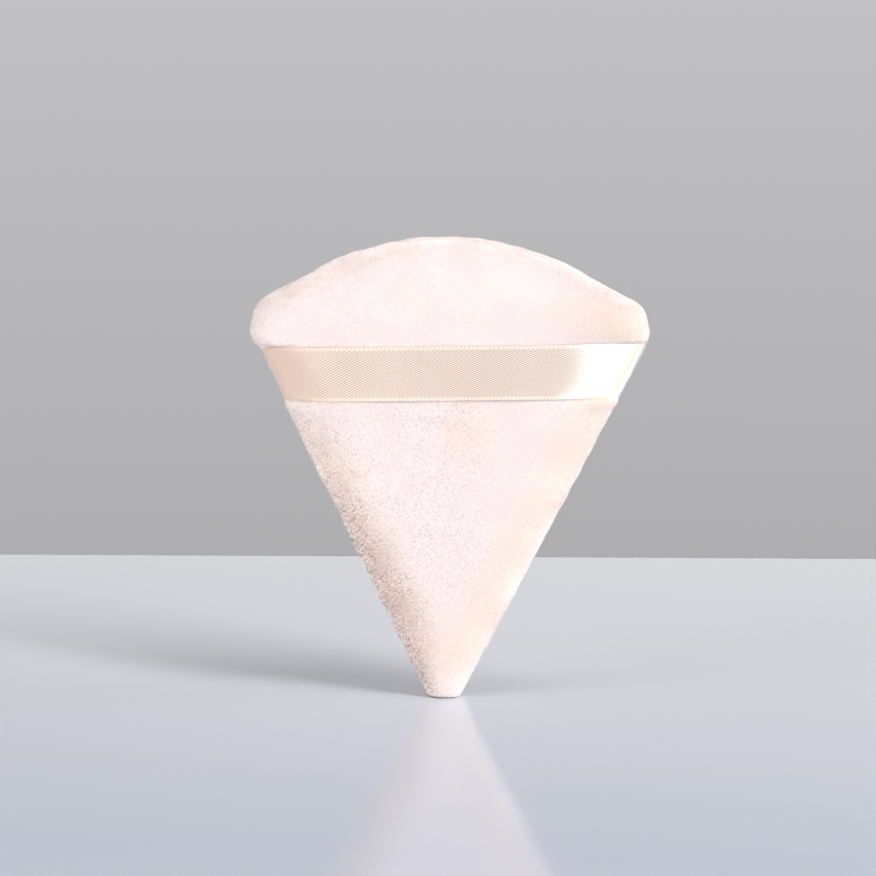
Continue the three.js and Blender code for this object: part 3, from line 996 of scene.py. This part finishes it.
def ribbon_grid():
    """The ribbon's middle surface as evenly spaced columns of rows, and the length along it."""
    drops = np.linspace(-1.0, 1.0, RIBBON_ROWS) * RIBBON_WIDTH / 2.0
    left = ribbon_side(-1, drops)
    right = ribbon_side(1, drops)[::-1]
    off = RIBBON_STAND_OFF + RIBBON_THICKNESS / 2.0
    front = []
    for share in np.linspace(0.0, 1.0, FACE_STATIONS)[1:-1]:
        column = left[-1] * (1.0 - share) + right[0] * share
        x, z = column[:, 0], column[:, 2]
        inset = outline.inset_of(x, z)
        pinch = np.where(x > 0.0, pinch_at(inset, drops, 1), pinch_at(inset, drops, -1))
        column[:, 1] = pinch - off - rise_at(x, z)
        front.append(column)
    columns = np.concatenate([left, np.array(front), right])
    along = path_lengths(columns[:, RIBBON_ROWS // 2])
    even = np.linspace(0.0, along[-1], RIBBON_COLUMNS)
    grid = np.empty((RIBBON_COLUMNS, RIBBON_ROWS, 3))
    for row in range(RIBBON_ROWS):
        for axis in range(3):
            grid[:, row, axis] = np.interp(even, along, columns[:, row, axis])
    return grid, even, drops


def weave(length, drop):
    """The ribbon's relief from 0 to 1: slanting twill lines, and ticks across both selvedges."""
    across = drop * math.cos(TWILL_SLANT) - length * math.sin(TWILL_SLANT)
    twill = 0.5 + 0.5 * np.cos(FULL_TURN * across / TWILL_PITCH)
    ticks = 1.0 - SELVEDGE_RELIEF * (1.0 - np.cos(FULL_TURN * length / SELVEDGE_PITCH))
    edge = smooth_step((np.abs(drop) - RIBBON_WIDTH / 2.0 + SELVEDGE_WIDTH) / SELVEDGE_STEP)
    return twill * (1.0 - edge) + ticks * edge


def dips_at(x, relief, shown):
    """How dark the ribbon is dyed between its lines across the puff, with painted shade over its
    right half.
    """
    lines = 1.0 - smooth_step(relief / TWILL_LINE)
    shown = shown * (WOVEN_LEAST + (1.0 - WOVEN_LEAST) * ease(x, *WOVEN_LEFT))
    plain = WOVEN_PLAIN * ease(x, *PLAIN_PLACES)
    # Painted shade over the ribbon's right half
    right = RIBBON_RIGHT_PAINTED_SHADE * ease(x, *RIGHT_PLACES) * ease(x, *RIGHT_ENDS)
    dyed_lines = WOVEN_LINES * (plain + (lines - plain) * shown)
    return WOVEN_GROUND + WOVEN_FACE * shown + dyed_lines + right


def loop_round(index):
    """The border of a grid of indices, once round."""
    return np.concatenate([index[:-1, 0], index[-1, :-1], index[:0:-1, -1], index[0, :0:-1]])


def grid_triangles(index):
    a, b = index[:-1, :-1].ravel(), index[1:, :-1].ravel()
    c, d = index[1:, 1:].ravel(), index[:-1, 1:].ravel()
    return np.vstack([np.stack([a, b, c], axis=1), np.stack([a, c, d], axis=1)])


def ribbon_shape():
    """Points and triangles of the ribbon: one sheet from seam to seam with a small thickness."""
    grid, along, drops = ribbon_grid()
    normals = unit(np.cross(np.gradient(grid, axis=0), np.gradient(grid, axis=1)))
    length, drop = np.meshgrid(along, drops, indexing="ij")
    rise = -grid[:, :, 1]
    wave = waves(grid.reshape(-1, 3), RIBBON_WAVES, SEED + 60).reshape(length.shape)
    lift = (wave + LOWER_LIFT * ease(drop, *LOWER_LIFTED)) * ease(rise, *RIBBON_WAVED)
    relief = weave(length, drop)
    shown = ease(rise, *WOVEN_RISES)
    half = RIBBON_THICKNESS / 2.0
    outer = grid + normals * (lift + half + TWILL_DEPTH * relief * shown)[:, :, None]
    inner = grid + normals * (lift - half)[:, :, None]
    inner = inner[::RIBBON_COARSER, ::RIBBON_COARSER]
    points = np.vstack([outer.reshape(-1, 3), inner.reshape(-1, 3)])

    above = np.arange(rise.size).reshape(rise.shape)
    below = above.size + np.arange(inner[:, :, 0].size).reshape(inner.shape[:2])
    rim, under = loop_round(above), loop_round(below)
    hem = np.concatenate([rim, under])[strip(0, len(rim), len(rim), len(under))]
    triangles = np.vstack([grid_triangles(above), grid_triangles(below)[:, ::-1], hem[:, ::-1]])
    dips = dips_at(grid[:, :, 0], relief, shown)
    weave_and_shade_dye = np.clip(np.concatenate([dips.ravel(), np.zeros(below.size)]), 0.0, 1.0)
    warm = ease(points[:, 0], *WARM_PLACES)
    return points, facing_out(points, triangles), weave_and_shade_dye, warm, along[-1]


def make_ribbon(material):
    points, triangles, weave_and_shade_dye, warm, length = ribbon_shape()
    ribbon = make_piece("satin_ribbon", points, triangles, material)
    give_note(ribbon, "weave", weave_and_shade_dye)
    give_note(ribbon, "warm", warm)
    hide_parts("ribbon")


# Foam core and threads


def make_foam(material):
    """The sponge inside, with open pores over its surface."""
    edge = SEAM_DRAW + ALLOWANCE_WIDTH + 2.0 * CLEARANCE + SEAM_THREAD
    sunk = CLOTH + CLEARANCE
    half = []
    for turn in np.linspace(0.0, SQUARE, FOAM_ROUND_RINGS + 1)[1:]:
        inset = edge + FOAM_ROUND * (1.0 - math.cos(turn))
        height = math.sin(turn)
        half.append(edge_ring(inset, lambda full, height=height: (full - sunk) * height))
    half += face_rings(FOAM_RINGS, edge + FOAM_ROUND, sunk)
    front = laid_out(half, FOAM_STEP)
    back = [ring * [1.0, -1.0, 1.0] for ring in front]
    middle = laid_out([edge_ring(edge, lambda full: 0.0)], FOAM_STEP)
    rings = [*front[::-1], *middle, *back]
    start = [THICKEST[0], CROWN_RISE - sunk, THICKEST[1]]
    end = [THICKEST[0], sunk - CROWN_RISE, THICKEST[1]]
    points, triangles = lofted(start, rings, end)
    triangles = facing_out(points, triangles)
    pores = sum(np.abs(ripples(points, size, SEED + 70 + k)) for k, size in enumerate(PORE_SIZES))
    depth = PORE_DEPTH * smooth_step(1.0 - pores / PORE_LIMIT)
    points -= point_normals(points, triangles) * depth[:, None]
    foam = make_piece("sponge_core", points, triangles, material)
    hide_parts("foam_core")


def thread_tube(points, radius, sides, plies):
    """A closed tube of twisted thread through points."""
    points = np.asarray(points)
    along = unit(np.gradient(points, axis=0))
    across = np.cross(along, [0.0, 1.0, 0.0])
    # Where the thread nearly runs along Y, its sides are taken from X
    small = np.linalg.norm(across, axis=1) < 0.2
    across[small] = np.cross(along[small], [1.0, 0.0, 0.0])
    across = unit(across)
    over = np.cross(along, across)
    turns = FULL_TURN * np.arange(sides) / sides
    rings = []
    for place, side, up, at in zip(points, across, over, path_lengths(points)):
        twist = plies * (turns - FULL_TURN * at / PLY_LAY)
        reach = radius * (1.0 - PLY_GROOVE * np.sin(twist / 2.0) ** 2)
        round_place = np.outer(np.cos(turns) * reach, side) + np.outer(np.sin(turns) * reach, up)
        rings.append(place + round_place)
    body, triangles = lofted(points[0], rings, points[-1])
    return body, facing_out(body, triangles)


def make_closing_thread(material):
    """Slanting hand stitches over the turning gap on the crown, left of its middle."""
    stitches = int(2.0 * STITCHES_LENGTH / STITCH_PITCH)
    off = STITCH_THREAD / 2.0 - STITCH_SUNK
    over = SEAM_DRAW * (1.0 - math.cos(math.asin(STITCH_REACH / BULGE_RISE))) - off
    swings = np.array([0.0, 1.0, 0.0, -1.0])
    places = np.arange(stitches + 1)
    swing = swings[places % 4] * STITCH_REACH
    insets = np.where(swing == 0.0, STITCH_SUNK, over)
    fine = np.linspace(0.0, stitches, stitches * STITCH_SAMPLES + 1)
    swing = np.interp(fine, places, swing)
    insets = np.interp(fine, places, insets)
    for _ in range(2):
        swing[1:-1] = (swing[:-2] + swing[1:-1] + swing[2:]) / 3.0
        insets[1:-1] = (insets[:-2] + insets[1:-1] + insets[2:]) / 3.0
    shares = -(STITCHES_START + STITCHES_LENGTH * fine / stitches) / outline.girth
    points = []
    for share, inset, back in zip(shares, insets, swing):
        x, z = outline.drawn_in(np.array([share]), inset)[0]
        points.append([x, back, z])
    body, triangles = thread_tube(points, STITCH_THREAD / 2.0, sides=10, plies=2)
    stitch = make_piece("closing_stitches", body, triangles, material)
    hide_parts("closing_thread")


def dress_hidden_threads(material):
    """The machine seam's threads lie between the panels and keep their CAD shape."""
    for name in ("looper_thread", "needle_thread"):
        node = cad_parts[name]
        node.data.materials.clear()
        node.data.materials.append(material)


# Stage, light and camera


def back_of(azimuth, elevation):
    """The direction from the puff to a place at an azimuth and elevation, in degrees."""
    a, e = math.radians(azimuth), math.radians(elevation)
    return Vector((math.sin(a) * math.cos(e), -math.cos(a) * math.cos(e), math.sin(e)))


def make_table():
    material, shader = new_material("table", TABLE_NEAR, 0.1)
    shader.inputs["Specular IOR Level"].default_value = 0.7
    # Painted shade: the table's colour darkens from back to front
    place = add_node(material, "ShaderNodeTexCoord")
    split = add_node(material, "ShaderNodeSeparateXYZ")
    depth = add_node(material, "ShaderNodeMapRange", From_Min=TABLE_FRONT, From_Max=TABLE_BACK)
    blend = colour_mix(material, TABLE_NEAR, TABLE_FAR)
    join(material, place.outputs["Object"], split.inputs["Vector"])
    join(material, split.outputs["Y"], depth.inputs["Value"])
    join(material, depth.outputs["Result"], blend.inputs[0])
    join(material, blend.outputs[2], shader.inputs["Base Color"])
    turn = math.radians(TABLE_TURN)
    right = Vector((math.cos(turn), math.sin(turn), 0.0))
    away = Vector((-math.sin(turn), math.cos(turn), 0.0))
    near, far = -TABLE_REACH, TABLE_BACK
    spread = ((-TABLE_REACH, near), (TABLE_REACH, near), (TABLE_REACH, far), (-TABLE_REACH, far))
    corners = [right * x + away * y for x, y in spread]
    mesh = bpy.data.meshes.new("table")
    mesh.from_pydata(corners, [], [(0, 1, 2, 3)])
    mesh.materials.append(material)
    link(bpy.data.objects.new("table", mesh))


def make_world():
    """A pale room for the light, with a grey backdrop where the camera and gloss see it."""
    world = bpy.data.worlds.new("studio")
    bpy.context.scene.world = world
    world.use_nodes = True
    light = world.node_tree.nodes["Background"]
    backdrop = add_node(world, "ShaderNodeBackground", Strength=1.0)
    path = add_node(world, "ShaderNodeLightPath")
    seen = path.outputs["Is Camera Ray"]
    for ray in ("Is Glossy Ray", "Is Transmission Ray"):
        either = add_node(world, "ShaderNodeMath")
        either.operation = "MAXIMUM"
        join(world, seen, either.inputs[0])
        join(world, path.outputs[ray], either.inputs[1])
        seen = either.outputs["Value"]
    place = add_node(world, "ShaderNodeTexCoord")
    split = add_node(world, "ShaderNodeSeparateXYZ")
    join(world, place.outputs["Generated"], split.inputs["Vector"])

    sides = add_node(world, "ShaderNodeMapRange", From_Min=-ROOM_ACROSS, From_Max=ROOM_ACROSS)
    tones = colour_mix(world, ROOM_LEFT, ROOM_RIGHT)
    heights = add_node(world, "ShaderNodeMapRange", To_Min=ROOM_HORIZON, To_Max=ROOM_ZENITH)
    join(world, split.outputs["X"], sides.inputs["Value"])
    join(world, sides.outputs["Result"], tones.inputs[0])
    join(world, tones.outputs[2], light.inputs["Color"])
    join(world, split.outputs["Z"], heights.inputs["Value"])
    join(world, heights.outputs["Result"], light.inputs["Strength"])

    low, high = BACKDROP_HEIGHTS
    ramp = add_node(world, "ShaderNodeMapRange", From_Min=low, From_Max=high)
    shade = colour_mix(world, BACKDROP_LOW, BACKDROP_HIGH)
    join(world, split.outputs["Z"], ramp.inputs["Value"])
    join(world, ramp.outputs["Result"], shade.inputs[0])
    join(world, shade.outputs[2], backdrop.inputs["Color"])

    mix = add_node(world, "ShaderNodeMixShader")
    join(world, seen, mix.inputs["Fac"])
    join(world, light.outputs["Background"], mix.inputs[1])
    join(world, backdrop.outputs["Background"], mix.inputs[2])
    join(world, mix.outputs["Shader"], world.node_tree.nodes["World Output"].inputs["Surface"])


def make_lamp(name, azimuth, elevation, size, power, colour):
    lamp = bpy.data.lights.new(name, "AREA")
    lamp.shape = "RECTANGLE"
    lamp.size, lamp.size_y = size
    lamp.energy = power
    lamp.color = colour
    back = back_of(azimuth, elevation)
    piece = link(bpy.data.objects.new(name, lamp))
    piece.location = CENTRE + back * LAMP_DISTANCE
    piece.rotation_mode = "QUATERNION"
    piece.rotation_quaternion = (-back).to_track_quat("-Z", "Y")
    return piece


def make_camera():
    data = bpy.data.cameras.new("camera")
    data.sensor_width = SENSOR_WIDTH
    data.lens = data.sensor_width * CAMERA_DISTANCE / FRAME_WIDTH
    data.clip_start, data.clip_end = 0.01, 20.0
    camera = link(bpy.data.objects.new("camera", data))
    back = back_of(CAMERA_AZIMUTH, CAMERA_ELEVATION)
    camera.location = CAMERA_TARGET + back * CAMERA_DISTANCE
    camera.rotation_mode = "QUATERNION"
    roll = Quaternion(back, math.radians(CAMERA_ROLL))
    camera.rotation_quaternion = roll @ (-back).to_track_quat("-Z", "Y")
    bpy.context.scene.camera = camera


velour = velour_material()
satin = satin_material()
thread = thread_material()
make_panel(-1, "front", velour)
make_panel(1, "back", velour)
make_ribbon(satin)
make_foam(sponge_material())
make_closing_thread(thread)
dress_hidden_threads(thread)
make_table()
make_world()

# Azimuth, elevation, size in metres, power in watts and colour
make_lamp("key", 53.7, 50.0, (0.18, 1.3), 16.8, (1.0, 0.97, 0.94))
make_lamp("rim", 100.0, 6.0, (0.3, 0.5), 6.0, (1.0, 0.99, 0.97))
make_lamp("fill", -54.0, 9.0, (0.7, 0.7), 10.5, (1.0, 0.95, 0.92))
behind = make_lamp("behind", 200.0, 3.0, (0.8, 0.2), 6.0, (1.0, 0.97, 0.95))
behind.visible_glossy = False
gloss = make_lamp("gloss", 42.0, 18.0, (0.62, 0.5), 140.0, (0.97, 0.99, 1.0))
gloss.visible_diffuse = False
make_camera()

bpy.context.scene.view_settings.view_transform = "Standard"
